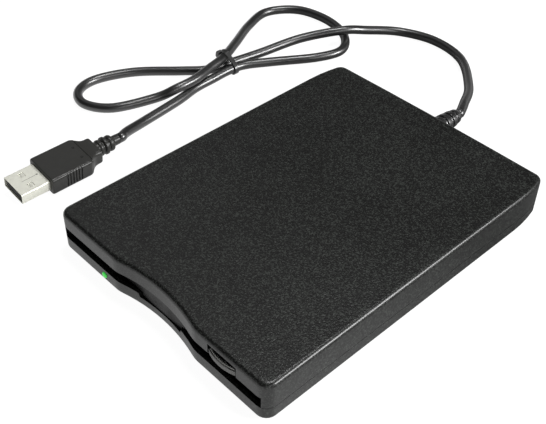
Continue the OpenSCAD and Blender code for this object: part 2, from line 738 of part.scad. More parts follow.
module rotor() color([0.7, 0.71, 0.73]) translate([0, y_spin, z_loaded - 0.75]) difference() {
    cylinder(r = rotor_r, h = 0.4);
    translate([0, 0, -1]) cylinder(r = spindle_r, h = 3);
    for (i = [0:7]) rotate([0, 0, 45 * i]) translate([11, 0, -1]) cylinder(r = 1.5, h = 3);
}

module rotor_magnet() color([0.3, 0.3, 0.32]) translate([0, y_spin, z_loaded - 1]) difference() {
    cylinder(r = rotor_r - 0.5, h = 0.25);
    translate([0, 0, -1]) cylinder(r = 13, h = 3);
}

module spindle_shaft() color([0.85, 0.85, 0.87])
    translate([0, y_spin, z_board + 0.1]) cylinder(r = spindle_r, h = z_rail - 0.4 - z_board - 0.1);

module hub_plate() color([0.76, 0.77, 0.79]) translate([0, y_spin, z_loaded - 0.35]) difference() {
    cylinder(r = 11, h = 0.5);
    translate([0, 0, -1]) cylinder(r = spindle_r, h = 3);
    translate([7.5, 0, -1]) cylinder(r = 1, h = 3);
}

module drive_pin() color([0.85, 0.85, 0.87])
    translate([7.5, y_spin, z_loaded - 0.35]) cylinder(r = 1, h = 1.2);

// ---------- heads ----------

module head_carriage() color([0.15, 0.15, 0.16]) {
    z_follow = lead_z + lead_r + 0.3;
    z_bridge = z_arm_pin + 1.8;
    difference() {
        union() {
            box([-8, car_y0, car_z0], [rod_x + 3, car_y1, car_z1]);
            // arm under the disk that carries the lower head
            box([-4.5, y_head - head_d - 0.2, z_loaded - 1.05], [4.5, car_y0 + 1, z_loaded - 0.25]);
            // follower with its tooth in the lead screw's groove
            box([lead_x - 1.6, follow_y - 1, z_follow], [-6, follow_y + 1, z_follow + 0.9]);
            box([-8, car_y0, car_z1 - 1], [-6, follow_y + 1, z_follow + 0.9]);
            translate([lead_x, follow_y, lead_z + 0.95]) cylinder(r = 0.2, h = lead_r - 0.5);
            // ears for the upper arm's pin, and the bridge that holds its spring
            for (x = [-8, 5.8]) box([x, car_y1 - 4, car_z1 - 1], [x + 2.2, y_arm + 1.7, z_bridge + 0.6]);
            box([-8, y_arm - 0.6, z_bridge], [8, y_arm + 2, z_bridge + 0.6]);
        }
        rod_y(rod_r + run_gap, car_y0 - 1, car_y1 + 1, rod_x, rod_z);
        rod_x(0.8, -9, 9, y_arm, z_arm_pin);
        // hollow under the upper arm
        box([-5, car_y0 + 2, z_loaded - 0.2], [5, car_y1 - 1.5, car_z1 + over]);
    }
}

module lower_head() color([0.85, 0.85, 0.82]) difference() {
    box([-head_w, y_head - head_d, z_loaded - 0.25], [head_w, y_head + head_d, z_media]);
    box([-0.6, y_head - head_d - 1, z_media - 0.3], [0.6, y_head + head_d + 1, z_media + 1]);
}

// Frame of the upper arm: origin in its pin, level when the arm is down
module at_arm()
    translate([0, y_arm, z_arm_pin]) rotate([-lift_a, 0, 0]) children();

module upper_arm() color([0.18, 0.18, 0.19]) at_arm() difference() {
    union() {
        box([-4.6, -arm_l - head_d - 0.1, -arm_drop], [4.6, 0, arm_t - arm_drop]);
        both_sides() box([3.6, 6 - arm_l, -arm_drop], [4.6, -6, arm_t - arm_drop + 0.8]);
        rod_x(1.2, -5.5, 5.5, 0, 0);
    }
    rod_x(0.8 + run_gap, -7, 7, 0, 0);
}

module upper_head() color([0.85, 0.85, 0.82]) at_arm()
    box([-head_w, -arm_l - head_d, -head_dn], [head_w, head_d - arm_l, -arm_drop]);

module arm_pin() color([0.8, 0.8, 0.82])
    rod_x(0.8, -8, 8, y_arm, z_arm_pin);

// Leaf that presses the upper arm down
module arm_spring() color([0.78, 0.78, 0.8]) {
    z0 = z_arm_pin + 2.4;
    z1 = z_arm_pin + 16 * sin(lift_a) + arm_t - arm_drop + 0.1;
    leaf = [[y_arm + 1.8, z0], [y_arm - 1, z0], [y_arm - 16, z1], [y_arm - 18, z1 + 0.5]];
    translate([-2, 0, 0]) rotate([90, 0, 90]) linear_extrude(4)
        polygon(concat(leaf, [for (i = [3:-1:0]) leaf[i] + [0, 0.2]]));
}

// ---------- head drive ----------

module guide_rod() color([0.85, 0.85, 0.87])
    rod_y(rod_r, y_hold1 - 2, y_deck1 - 0.8, rod_x, rod_z);

module rod_clamps() color([0.7, 0.71, 0.72])
    for (y = [y_hold1 - 1.9, y_deck1 - 2.7]) difference() {
        union() {
            box([rod_x - 1.6, y, z_deck], [rod_x + 1.6, y + 1.8, rod_z + rod_r + 0.6]);
            box([rod_x - 1.6, y, z_deck], [rod_x + 9, y + 1.8, z_deck + 0.6]);
        }
        rod_y(rod_r, y - 1, y + 3, rod_x, rod_z);
    }

module stepper_motor() color([0.62, 0.63, 0.65]) difference() {
    union() {
        rod_y(stepper_r, lead_y1 + 0.6, y_deck1 - 2.7, lead_x, lead_z);
        rod_y(2.2, lead_y1 + 0.1, lead_y1 + 1, lead_x, lead_z);
    }
    rod_y(lead_r - 0.5 + run_gap, lead_y1 - 1, lead_y1 + 6, lead_x, lead_z);
}

module stepper_bracket() color([0.72, 0.73, 0.74]) difference() {
    union() {
        box([lead_x - 11.5, lead_y1, z_deck], [lead_x + 6.4, lead_y1 + 0.6, lead_z + stepper_r - 0.6]);
        box([lead_x - 11.5, lead_y1, z_deck], [lead_x - 7.8, lead_y1 + 6, z_deck + 0.6]);
    }
    rod_y(2.2 + run_gap, lead_y1 - 1, lead_y1 + 2, lead_x, lead_z);
}

// Screw with one groove, so that a turn moves the carriage by one pitch
module lead_screw() color([0.8, 0.8, 0.82]) {
    y0 = lead_y0 + 1.3;
    l = lead_y1 - 0.4 - y0;
    n = ceil(12 * l / screw_pitch);
    section = concat(arc([0, 0], lead_r, 62, 298, 8), arc([0, 0], lead_r * 0.5, -25, 25, 1));
    intersection() {
        skin([for (k = [-1:n + 1]) let (y = y0 + l * k / n, a = 90 + 360 * (y - follow_y) / screw_pitch)
            [for (p = section) [lead_x + p.x * cos(a) + p.y * sin(a), y,
                lead_z + p.x * sin(a) - p.y * cos(a)]]]);
        box([lead_x - 5, y0, lead_z - 5], [lead_x + 5, y0 + l, lead_z + 5]);
    }
    rod_y(lead_r - 0.5, lead_y0 + 0.1, y0 + 0.2, lead_x, lead_z);
    rod_y(lead_r - 0.5, lead_y1 - 0.6, lead_y1 + 5, lead_x, lead_z);
}

module screw_bearing() color([0.9, 0.9, 0.86]) difference() {
    box([lead_x - 9.5, lead_y0, z_deck], [lead_x + 2.6, lead_y0 + 1, lead_z + 2.6]);
    box([lead_x - 6.5, lead_y0 - 1, 0], [lead_x + 3, lead_y0 + 2, lead_z - 2.6]);
    rod_y(lead_r - 0.5 + run_gap, lead_y0 - 1, lead_y0 + 2, lead_x, lead_z);
}

// ---------- electronics ----------

board_x0 = 17;
board_x1 = x_rear - sheet - 0.3;
board_y0 = y_narrow + 2.5;
board_y1 = y_deck1 - 1.2;
z_main = z_deck + 1;

module main_board() color([0.1, 0.3, 0.19]) {
    difference() {
        box([board_x0, board_y0, z_main], [board_x1, board_y1, z_main + 1]);
        for (x = [board_x0 + 2, board_x1 - 2]) translate([x, board_y0 + 2, 0]) cylinder(r = 1, h = z_top);
    }
    // stand-offs
    for (x = [board_x0 + 5, board_x1 - 5], y = [board_y0 + 3, board_y1 - 3])
        translate([x, y, z_deck]) cylinder(r = 1.2, h = 1.01);
}

module board_chips() color([0.08, 0.08, 0.09]) translate([0, 0, z_main + 1]) {
    box([board_x0 + 9, board_y0 + 8, 0], [board_x0 + 19, board_y0 + 18, 1.2]);
    box([board_x0 + 3, board_y0 + 18.2, 0], [board_x0 + 7, board_y0 + 22.2, 1]);
    box([board_x0 + 11, board_y0 + 21, 0], [board_x0 + 15.5, board_y0 + 25, 1]);
}

module board_capacitors() color([0.75, 0.75, 0.78])
    for (p = [[board_x1 - 3.5, board_y0 + 20.6], [board_x1 - 3.5, board_y0 + 25.2]])
        translate([p.x, p.y, z_main + 1]) cylinder(r = 2, h = 5);

// Sockets of the cable and of the motor board's flat cable
module board_sockets() color([0.92, 0.9, 0.82]) {
    difference() {
        box([board_x0 + 0.5, board_y1 - 4.5, z_main + 1], [board_x0 + 9.5, board_y1 - 0.5, z_main + 4.2]);
        for (i = [0:3]) box([lead_at(i) - 0.5, board_y1 - 3.5, z_main + 2.2],
            [lead_at(i) + 0.5, board_y1 - 1.5, z_main + 5]);
    }
    box([21.5, board_y0 + 1, z_main + 1], [30.5, board_y0 + 4, z_main + 2.4]);
}

function lead_at(i) = board_x0 + 7.9 - 1.95 * i;

// Four thin wires from the strain relief's foot to the socket
module cable_leads() color([0.75, 0.2, 0.15])
    for (i = [0:3]) let (y0 = y_rear - wall - 1.3, z0 = exit_z + 1.5 - i, y1 = board_y1 - 2.5)
        tube(concat(
            [[exit_x + 1.6, y0, z0]],
            spline([[exit_x + 1.6, y0 - 0.6, z0], [exit_x + 3, y0 - 1.6, z0], [exit_x + 8, y0 - 1.9, z0],
                [board_x0 - 3, y_deck1 + 0.3, z_main + 7.4 - 0.9 * i],
                [lead_at(i) - 1.6, y1 + 0.4, z_main + 7.9 - 0.9 * i],
                [lead_at(i), y1, z_main + 7 - 0.9 * i], [lead_at(i), y1, z_main + 4.1]], 2),
            [[lead_at(i), y1, z_main + 2.3]]), 0.3, 6, [0, 1, 0.03]);

module motor_flex() color([0.8, 0.55, 0.25]) {
    t = 0.15;
    y1 = board_y0 - 0.6;
    box([22, y_flex, z_board + board_t], [30, y_flex + t, z_deck + 0.05 + t]);
    box([22, y_flex, z_deck + 0.05], [30, y1, z_deck + 0.05 + t]);
    box([22, y1 - t, z_deck + 0.05], [30, y1, z_main + 1.6 + t]);
    box([22, y1 - t, z_main + 1.6], [30, board_y0 + 1, z_main + 1.6 + t]);
}

// Flat cable that folds as the carriage moves
module head_flex() color([0.8, 0.55, 0.25]) {
    t = 0.15;
    x0 = rod_x + 3;
    z0 = car_z1 - 2;
    box([x0, car_y0 + 2, z0], [x0 + t, car_y0 + 6, z0 + 1.6]);
    box([x0, car_y0 + 2, z0 + 1.6 - t], [board_x0 + 4, car_y0 + 6, z0 + 1.6]);
    box([board_x0 + 4 - t, car_y0 + 2, z_main + 1], [board_x0 + 4, car_y0 + 6, z0 + 1.6]);
}

module disk_switches() color([0.12, 0.12, 0.13])
    for (p = [[-37.5, 0], [37.5, 0]]) translate([p.x, y_deck0 + 10, z_board + board_t]) {
        box([-2.4, -2.4, 0], [2.4, 2.4, z_loaded - z_board - board_t - 0.6]);
        cylinder(r = 0.8, h = z_rail - z_board - board_t - 0.5);
    }

// ---------- cable ----------

relief_y = y_rear + relief_l;

module strain_relief() color([0.14, 0.14, 0.14]) {
    neck = 2.5;
    end_r = cable_d / 2 + 0.9;
    groove = 0.7;
    ribs = 4;
    step = relief_l / (ribs + 0.6);
    translate([exit_x, y_rear, exit_z]) rotate([-90, 0, 0]) rotate_extrude()
        polygon(concat(
            [[0, -wall - 1.3], [3.6, -wall - 1.3], [3.6, -wall - 0.25], [neck, -wall - 0.25],
                [neck, 0.1], [relief_r - 0.4, 0.1], [relief_r, 0.6]],
            [for (i = [0:ribs - 1]) let (
                y = 0.6 + step * (i + 0.35),
                r0 = relief_r + (end_r - relief_r) * (y / relief_l) * (y / relief_l),
                r1 = relief_r + (end_r - relief_r) * pow((y + step) / relief_l, 2))
                each [[r0, y], [r0 - groove, y + 0.3], [r0 - groove, y + 1.1], [r1 + 0.15, y + 1.5]]],
            [[end_r, relief_l - 1], [end_r - 0.5, relief_l], [0, relief_l]]));
}

// Route of the cable: out of the rear, over its own right loop, through the tie and round
// the left loop, over itself and back through the tie, round the right loop and through
// the tie to the plug
cable_route = [
    [exit_x, relief_y + 2, exit_z], [-4.7, 94.8, 8.2], [-13, 109.4, 5.6], [-31.6, 128.7, 2.4],
    [-49.7, 132.6, 2.2], [-65.7, 126.6, 2.4], [-74.9, 113, 4.6], [-79.8, 102.3, 6.5],
    [-90.1, 85.5, 4.4], [-94.9, 65.3, 3], [-98, 49.3, 2.85], [-101.3, 39.2, 2.2],
    [-108.3, 30.4, 2.1], [-121.3, 14.6, 2.1], [-127.6, -1.4, 2.1], [-124.9, -11.9, 2.1],
    [-115.7, -15.2, 2.1], [-105.5, -8.1, 2.1], [-98.3, 8.8, 3], [-94.5, 17.2, 5.8],
    [-94, 26.5, 6.4], [-96.2, 36.1, 6.5],
    [-98.9, 46.8, 6.45], [-107, 61.3, 4.6], [-116.9, 78.1, 2.4], [-120.9, 93, 2.1],
    [-112.5, 105.7, 2.1], [-97, 109.4, 2.1], [-82, 105.6, 2.1], [-73.3, 95.6, 2.1],
    [-75.9, 83.2, 2.1], [-86.6, 65.8, 2.1], [-92.5, 54.2, 2.6], [-93.9, 46.2, 2.85],
    [-94, 36.3, 2.5], [-93.9, 26.2, 2.1], [-91.6, 15, 2.1], [-88.9, -4.3, 2.5],
    [-86, -15.2, 4.1], [plug_x, plug_y + 2, plug_z]];

module usb_cable() color([0.1, 0.1, 0.1])
    tube(concat([[exit_x, relief_y, exit_z]], spline(cable_route, 2), [[plug_x, plug_y, plug_z]]),
        cable_d / 2, 8);

tie_y = 48;
tie_strands = [[-99.1, 6.35], [-100.1, 6.35], [-98.2, 2.85], [-98.8, 2.85], [-93.8, 2.85]];

module cable_tie() color([0.08, 0.08, 0.08]) {
    inner = cable_d / 2 + 0.2;
    translate([0, tie_y + 1, 0]) rotate([90, 0, 0]) linear_extrude(2) difference() {
        hull() for (p = tie_strands) translate(p) circle(r = inner + 0.55, $fn = 20);
        hull() for (p = tie_strands) translate(p) circle(r = inner, $fn = 20);
    }
    // clasp
    translate([-103.45, tie_y, 5.7]) rotate([0, 12, 0]) rotate([90, 0, 0])
        translate([0, 0, -1.1]) linear_extrude(2.2) polygon(round_rect(1.9, 3.2, 0.7, 2));
}

// ---------- plug ----------

module at_plug()
    translate([plug_x, plug_y, plug_z]) rotate([0, plug_roll, 0]) children();

// Ring of the grip's outline at station y
function grip_ring(y, w, h, r) = [for (p = round_rect(w, h, r)) [-p.x, y, p.y]];

module plug_grip() color([0.13, 0.13, 0.13]) at_plug() {
    y0 = -neck_l - grip_l;
    y1 = -neck_l - lobe_l;
    lobe_t = grip_t - 1;
    difference() {
        skin([grip_ring(y0, grip_w - 0.8, grip_t - 0.8, 0.9),
            grip_ring(y0 + 0.4, grip_w, grip_t, 1.2),
            grip_ring(y1, grip_w, grip_t, 1.2),
            grip_ring(y1 + 0.9, lobe_w + 0.75 * (grip_w - lobe_w), grip_t - 0.1, 1.3),
            grip_ring(y1 + 1.9, lobe_w + 0.42 * (grip_w - lobe_w), grip_t - 0.4, 1.4),
            grip_ring(y1 + 3, lobe_w + 0.15 * (grip_w - lobe_w), lobe_t + 0.3, 1.5),
            grip_ring(y1 + 4.4, lobe_w, lobe_t, 1.5),
            grip_ring(-neck_l - 0.5, lobe_w, lobe_t, 1.5),
            grip_ring(-neck_l + 0.1, lobe_w - 1, lobe_t - 1, 1.2),
            grip_ring(1 - neck_l, lobe_w - 1, lobe_t - 1, 1.2)]);
        box([-grip_w, -neck_l, -grip_t], [grip_w, 2 - neck_l, grip_t]);
        // finger ribs on both edges
        both_sides() for (i = [0:5])
            box([grip_w / 2 - 0.35, y0 + 4.6 + 1.3 * i, -grip_t], [grip_w, y0 + 5.2 + 1.3 * i, grip_t]);
    }
    // ringed neck
    rotate([90, 0, 0]) rotate_extrude() polygon([[0, 0], [2.6, 0], [3.1, 0.5], [3.1, 1.5],
        [2.5, 1.9], [2.5, 2.5], [3.4, 3], [3.4, 4.4], [2.7, 4.8], [2.7, 5.5], [3.7, 6.1],
        [3.7, 7.6], [2.8, 8.2], [2.8, neck_l + 0.1], [0, neck_l + 0.1]]);
}

module plug_shell() color([0.86, 0.86, 0.84]) at_plug() {
    y0 = -neck_l - grip_l;
    difference() {
        translate([0, y0, 0]) rotate([90, 0, 0]) linear_extrude(shell_l) difference() {
            polygon(round_rect(shell_w, shell_t, 0.5));
            polygon(round_rect(shell_w - 0.6, shell_t - 0.6, 0.3));
        }
        both_sides() box([1.9, y0 - 7.4, -shell_t], [4.1, y0 - 5.2, shell_t]);
    }
}

module plug_tongue() color([0.93, 0.93, 0.9]) at_plug() {
    y0 = -neck_l - grip_l;
    box([-shell_w / 2 + 0.45, y0 - shell_l + 0.6, -shell_t / 2 + 0.4], [shell_w / 2 - 0.45, y0, -0.1]);
}

module plug_contacts() color([0.85, 0.68, 0.3]) at_plug() {
    y0 = -neck_l - grip_l;
    for (x = [-3.5, -1, 1, 3.5]) {
        l = abs(x) > 2 ? 8.8 : 7.8;
        box([x - 0.5, y0 - l - 1, -0.1], [x + 0.5, y0, 0.05]);
    }
}

top_cover();
bottom_shell();
rubber_feet();
case_screws();
dust_door();
door_spring();
eject_button();
slide_plate();
slide_springs();
light_pipe();
status_led();
chassis();
chassis_screws();
mechanism_shield();
disk_holder();
holder_pins();
shutter_lever();
lever_pivot();
lever_spring();
motor_board();
stator_coils();
spindle_bearing();
rotor();
rotor_magnet();
spindle_shaft();
hub_plate();
drive_pin();
head_carriage();
lower_head();
upper_arm();
upper_head();
arm_pin();
arm_spring();
guide_rod();
rod_clamps();
stepper_motor();
stepper_bracket();
lead_screw();
screw_bearing();
main_board();
board_chips();
board_capacitors();
board_sockets();
cable_leads();
motor_flex();
head_flex();
disk_switches();
strain_relief();
usb_cable();
cable_tie();
plug_grip();
plug_shell();
plug_tongue();
plug_contacts();
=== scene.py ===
import json
import math

import bmesh
import bpy
from mathutils import Matrix, Vector


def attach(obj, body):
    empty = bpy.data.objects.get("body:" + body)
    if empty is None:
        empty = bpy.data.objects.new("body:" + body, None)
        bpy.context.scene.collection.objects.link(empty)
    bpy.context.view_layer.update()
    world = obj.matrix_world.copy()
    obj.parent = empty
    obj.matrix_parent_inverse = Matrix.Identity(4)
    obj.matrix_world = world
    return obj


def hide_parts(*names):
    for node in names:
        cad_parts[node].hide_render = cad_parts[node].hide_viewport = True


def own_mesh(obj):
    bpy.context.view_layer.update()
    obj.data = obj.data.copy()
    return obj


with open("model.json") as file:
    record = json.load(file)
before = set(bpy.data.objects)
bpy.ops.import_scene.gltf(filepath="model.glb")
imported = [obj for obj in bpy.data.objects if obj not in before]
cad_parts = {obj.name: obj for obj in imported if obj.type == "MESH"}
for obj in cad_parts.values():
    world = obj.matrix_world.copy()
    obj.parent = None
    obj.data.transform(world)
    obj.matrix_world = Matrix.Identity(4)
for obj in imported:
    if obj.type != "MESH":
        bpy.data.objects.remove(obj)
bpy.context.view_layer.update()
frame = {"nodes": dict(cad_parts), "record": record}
NODES = frame["nodes"]
scene = bpy.context.scene
scene.view_settings.view_transform = "Standard"
MM = 0.001


def V(x, y, z):
    """A point given in millimetres, in metres."""
    return Vector((x, y, z)) * MM


# ---------------------------------------------------------------- camera

# solved from the outline of the case and its straight edges; sensor and lens in millimetres
AZIMUTH, ELEVATION, ROLL = math.radians(45.8963), math.radians(41.5419), math.radians(1.1296)
CAMERA_AT = V(165.4806, -177.4932, 223.1998)
SENSOR_WIDTH, FOCAL_LENGTH = 36, 60.69
CLIP_START, CLIP_END = 0.01, 20  # metres

back = Vector((math.sin(AZIMUTH) * math.cos(ELEVATION),
               -math.cos(AZIMUTH) * math.cos(ELEVATION),
               math.sin(ELEVATION)))
level_right = (-back).cross(Vector((0, 0, 1))).normalized()
level_up = level_right.cross(-back)
right = math.cos(ROLL) * level_right + math.sin(ROLL) * level_up
up = math.cos(ROLL) * level_up - math.sin(ROLL) * level_right
camera = bpy.data.objects.new("camera", bpy.data.cameras.new("camera"))
scene.collection.objects.link(camera)
camera.location = CAMERA_AT
camera.rotation_mode = "QUATERNION"
camera.rotation_quaternion = Matrix((right, up, back)).transposed().to_quaternion()
camera.data.sensor_width = SENSOR_WIDTH
camera.data.lens = FOCAL_LENGTH
camera.data.clip_start, camera.data.clip_end = CLIP_START, CLIP_END
scene.camera = camera


# ---------------------------------------------------------------- meshes


def turn(steps):
    """Angles of one full turn."""
    return [2 * math.pi * i / steps for i in range(steps)]


def round_ring(x, y, z, r, steps, place=Matrix.Identity(4)):
    """Circle round a line along Y, in millimetres, moved by a matrix."""
    return [place @ V(x + r * math.cos(a), y, z + r * math.sin(a)) for a in turn(steps)]


def spline(points, steps):
    """Catmull-Rom curve through the points, both ends included."""
    out = []
    last = len(points) - 1
    for i in range(last):
        a, b, c, d = points[max(i - 1, 0)], points[i], points[i + 1], points[min(i + 2, last)]
        for j in range(steps):
            t = j / steps
            out.append(0.5 * (2 * b + (c - a) * t + (2 * a - 5 * b + 4 * c - d) * t * t
                              + (3 * b - a - 3 * c + d) * t ** 3))
    out.append(points[-1])
    return out


def tube_rings(points, radius, sides=20):
    """Rings round a path of points, carried along it without twist."""
    rings = []
    normal = None
    last = len(points) - 1
    for k, point in enumerate(points):
        along = (points[min(k + 1, last)] - points[max(k - 1, 0)]).normalized()
        if normal is None:
            normal = along.orthogonal()
        normal = (normal - along * normal.dot(along)).normalized()
        side = along.cross(normal)
        rings.append([point + radius * (normal * math.cos(a) + side * math.sin(a))
                      for a in turn(sides)])
    return rings


def shade_smooth(mesh):
    """Smooth shading on every face."""
    for polygon in mesh.polygons:
        polygon.use_smooth = True


def ring_mesh(name, rings):
    """Closed smooth skin through rings of equal length."""
    n, last = len(rings[0]), len(rings) - 1
    faces = []
    for k in range(last):
        for i in range(n):
            j = (i + 1) % n
            faces.append((k * n + i, k * n + j, (k + 1) * n + j, (k + 1) * n + i))
    faces.append(tuple(reversed(range(n))))
    faces.append(tuple(last * n + i for i in range(n)))
    mesh = bpy.data.meshes.new(name)
    mesh.from_pydata([point for ring in rings for point in ring], [], faces)
    bm = bmesh.new()
    bm.from_mesh(mesh)
    bmesh.ops.recalc_face_normals(bm, faces=bm.faces)
    bm.to_mesh(mesh)
    bm.free()
    shade_smooth(mesh)
    return mesh


def joined(name, meshes):
    """One smooth mesh that holds several."""
    bm = bmesh.new()
    for mesh in meshes:
        bm.from_mesh(mesh)
    whole = bpy.data.meshes.new(name)
    bm.to_mesh(whole)
    bm.free()
    shade_smooth(whole)
    return whole


# ---------------------------------------------------------------- edges

EDGE_ANGLE = 32       # degrees from which an edge counts as sharp
WELD_DISTANCE = 2e-6  # metres
BEVEL_SEGMENTS = 2
FACE_WEIGHT = 50      # normals follow the faces by their area, neither more nor less


def smooth_by_angle():
    """Node group that shades smooth, apart from edges sharper than EDGE_ANGLE."""
    tree = bpy.data.node_groups.new("smooth_by_angle", "GeometryNodeTree")
    for in_out in ("INPUT", "OUTPUT"):
        tree.interface.new_socket("Geometry", in_out=in_out, socket_type="NodeSocketGeometry")
    new, link = tree.nodes.new, tree.links.new
    into, out = new("NodeGroupInput"), new("NodeGroupOutput")
    faces, edges = new("GeometryNodeSetShadeSmooth"), new("GeometryNodeSetShadeSmooth")
    edges.domain = "EDGE"
    edges.inputs["Shade Smooth"].default_value = False
    edge_angle, compare = new("GeometryNodeInputMeshEdgeAngle"), new("FunctionNodeCompare")
    compare.data_type, compare.operation = "FLOAT", "GREATER_THAN"
    compare.inputs[1].default_value = math.radians(EDGE_ANGLE)
    link(into.outputs["Geometry"], faces.inputs["Geometry"])
    link(faces.outputs["Geometry"], edges.inputs["Geometry"])
    link(edge_angle.outputs["Unsigned Angle"], compare.inputs[0])
    link(compare.outputs[0], edges.inputs["Selection"])
    link(edges.outputs["Geometry"], out.inputs["Geometry"])
    return tree


SMOOTH = smooth_by_angle()


def finish_edges(obj, bevel=0.0, angle=EDGE_ANGLE):
    """Welds a piece, rounds its sharp edges and shades what is left by angle."""
    for name in ("custom_normal", "sharp_edge", "sharp_face"):
        attribute = obj.data.attributes.get(name)
        if attribute:
            obj.data.attributes.remove(attribute)
    obj.modifiers.new("weld", "WELD").merge_threshold = WELD_DISTANCE
    if bevel:
        rounding = obj.modifiers.new("bevel", "BEVEL")
        rounding.width = bevel * MM
        rounding.segments = BEVEL_SEGMENTS
        rounding.limit_method = "ANGLE"
        rounding.angle_limit = math.radians(angle)
        rounding.use_clamp_overlap = True
        rounding.miter_outer = "MITER_ARC"
    obj.modifiers.new("smooth", "NODES").node_group = SMOOTH
    weigh = obj.modifiers.new("weigh", "WEIGHTED_NORMAL")
    weigh.mode, weigh.weight, weigh.keep_sharp = "FACE_AREA", FACE_WEIGHT, True


# ---------------------------------------------------------------- shader nodes


def noise(tree, vector, size, detail):
    """Noise with grains of about a size in millimetres."""
    node = tree.nodes.new("ShaderNodeTexNoise")
    node.inputs["Scale"].default_value = 1 / (size * MM)
    node.inputs["Detail"].default_value = detail
    tree.links.new(vector, node.inputs["Vector"])
    return node.outputs["Fac"]


def map_range(tree, value, span, result, interpolation="LINEAR"):
    """A value of one span, carried over to another and held at its ends."""
    node = tree.nodes.new("ShaderNodeMapRange")
    node.interpolation_type = interpolation
    for name, number in zip(("From Min", "From Max", "To Min", "To Max"), (*span, *result)):
        node.inputs[name].default_value = number
    tree.links.new(value, node.inputs["Value"])
    return node.outputs[0]


def combine(tree, operation, first, second):
    """Result of a math operation on two sockets."""
    node = tree.nodes.new("ShaderNodeMath")
    node.operation = operation
    tree.links.new(first, node.inputs[0])
    tree.links.new(second, node.inputs[1])
    return node.outputs[0]


# ---------------------------------------------------------------- materials

DRIFT_DETAIL, GRAIN_DETAIL, GLINT_SPECK_DETAIL = 4, 3, 1
COLOR_SPAN = (0.34, 0.66)  # noise over which one colour turns into the other
GLINT_SPECK_SPAN = (0.49, 0.68)  # higher, so that only the peaks take the speck's colour: light specks, partly grain and partly painted glints
ROUGH_SPAN = (0.3, 0.7)
LEAST_ROUGH = 0.02
BUMP_DEPTH = 0.5           # share of the grain's size
FLAT_SPAN = (0.95, 0.995)  # upward part of the normal between an edge and a flat top
SIDE_GRAIN = 0.12          # share of the grain that faces other than flat tops keep

MATS = {}


def srgb(r, g, b):
    """Linear colour from the 0 to 255 values that a picture shows."""
    return tuple(((c / 255 + 0.055) / 1.055) ** 2.4 if c > 10 else c / 255 / 12.92
                 for c in (r, g, b))


def material(name, rgb, rough, metallic=0.0, spec=0.5, grain=0.0, grain_size=0.4, speckle=0.5,
             vary=0.08, vary_size=3.0, rough_vary=0.08, coat=0.0, coat_rough=0.1, emission=0.0,
             stretch=(1, 1, 1), top_grain=False, glint_speck=None):
    """Principled material with colour drift, uneven roughness and grain, kept in MATS.

    rgb and speck are 0 to 255, and the sizes of grain and drift are in millimetres.
    vary is how far the colour drifts, and speckle the share of the fine noise in it.
    glint_speck is the peaks' colour, partly grain and partly painted glints; top_grain leaves the
    grain to flat tops.
    """
    color = srgb(*rgb)
    light_color = srgb(*glint_speck) if glint_speck else [min(c * (1 + vary), 1) for c in color]
    mat = bpy.data.materials.new(name)
    mat.use_nodes = True
    tree = mat.node_tree
    new, link = tree.nodes.new, tree.links.new
    shader = tree.nodes["Principled BSDF"]
    for socket, value in (("Metallic", metallic), ("Specular IOR Level", spec),
                          ("Coat Weight", coat), ("Coat Roughness", coat_rough)):
        shader.inputs[socket].default_value = value
    if emission:
        shader.inputs["Emission Color"].default_value = (*color, 1)
        shader.inputs["Emission Strength"].default_value = emission
    place, mapping = new("ShaderNodeTexCoord"), new("ShaderNodeMapping")
    mapping.inputs["Scale"].default_value = stretch
    link(place.outputs["Object"], mapping.inputs["Vector"])
    drift = noise(tree, mapping.outputs["Vector"], vary_size, DRIFT_DETAIL)
    fine = noise(tree, mapping.outputs["Vector"], grain_size,
                 GLINT_SPECK_DETAIL if glint_speck else GRAIN_DETAIL)

    weighed = new("ShaderNodeMix")
    weighed.inputs["Factor"].default_value = speckle
    link(drift, weighed.inputs["A"])
    link(fine, weighed.inputs["B"])
    mix = new("ShaderNodeMix")
    mix.data_type = "RGBA"
    mix.inputs["A"].default_value = (*[c * (1 - vary) for c in color], 1)
    mix.inputs["B"].default_value = (*light_color, 1)
    link(map_range(tree, weighed.outputs["Result"], GLINT_SPECK_SPAN if glint_speck else COLOR_SPAN,
                   (0.0, 1.0)), mix.inputs["Factor"])
    link(mix.outputs["Result"], shader.inputs["Base Color"])
    link(map_range(tree, drift, ROUGH_SPAN,
                   (max(rough - rough_vary, LEAST_ROUGH), min(rough + rough_vary, 1))),
         shader.inputs["Roughness"])

    if grain:
        height = fine
        if top_grain:
            faces, split = new("ShaderNodeNewGeometry"), new("ShaderNodeSeparateXYZ")
            link(faces.outputs["Normal"], split.inputs["Vector"])
            flat = map_range(tree, split.outputs["Z"], FLAT_SPAN, (SIDE_GRAIN, 1.0))
            height = combine(tree, "MULTIPLY", flat, fine)
        bump = new("ShaderNodeBump")
        bump.inputs["Strength"].default_value = grain
        bump.inputs["Distance"].default_value = grain_size * MM * BUMP_DEPTH
        link(height, bump.inputs["Height"])
        link(bump.outputs["Normal"], shader.inputs["Normal"])
    MATS[name] = mat


# outside
# near-black case with light specks, which are partly the grain and partly painted glints of the
# sheen on its bumps
material("case", (13, 13, 12), 0.34, spec=0.52, grain=0.4, grain_size=0.54, speckle=0.9,
         vary=0.2, vary_size=30, rough_vary=0.02, top_grain=True, glint_speck=(52, 55, 52))
